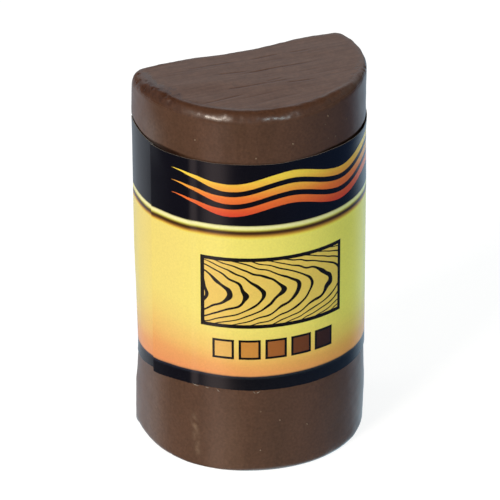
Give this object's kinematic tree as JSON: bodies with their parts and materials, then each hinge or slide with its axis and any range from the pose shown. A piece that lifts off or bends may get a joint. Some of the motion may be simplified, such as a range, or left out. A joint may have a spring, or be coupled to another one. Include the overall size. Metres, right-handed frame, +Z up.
{
  "type": "furniture repair wax stick",
  "caption": "Half-round bar of dark brown filler wax with a printed label wrapped round its middle, for filling dents and scratches in wood.",
  "frame": {"origin": "on the surface that the stick stands on, under the middle of its outer box", "axes": "+Z up along the stick, -Y out of the round front, +Y out of the flat back, +X to the right of the front"},
  "size_m": [0.0304, 0.0194, 0.0513],
  "materials": {
    "filler_wax": "cast hard wax, dark brown, satin, with fine scuffs and drag lines on the cut end",
    "label_adhesive": "thin clear tacky coat",
    "printed_paper": "coated paper printed in yellow, with a blue-black band along the top and the bottom",
    "clear_film": "thin clear gloss film over the print"
  },
  "bodies": {
    "root": {"wax_stick": "filler_wax", "label_adhesive": "label_adhesive", "label_paper": "printed_paper", "label_film": "clear_film"}
  },
  "joints": []
}
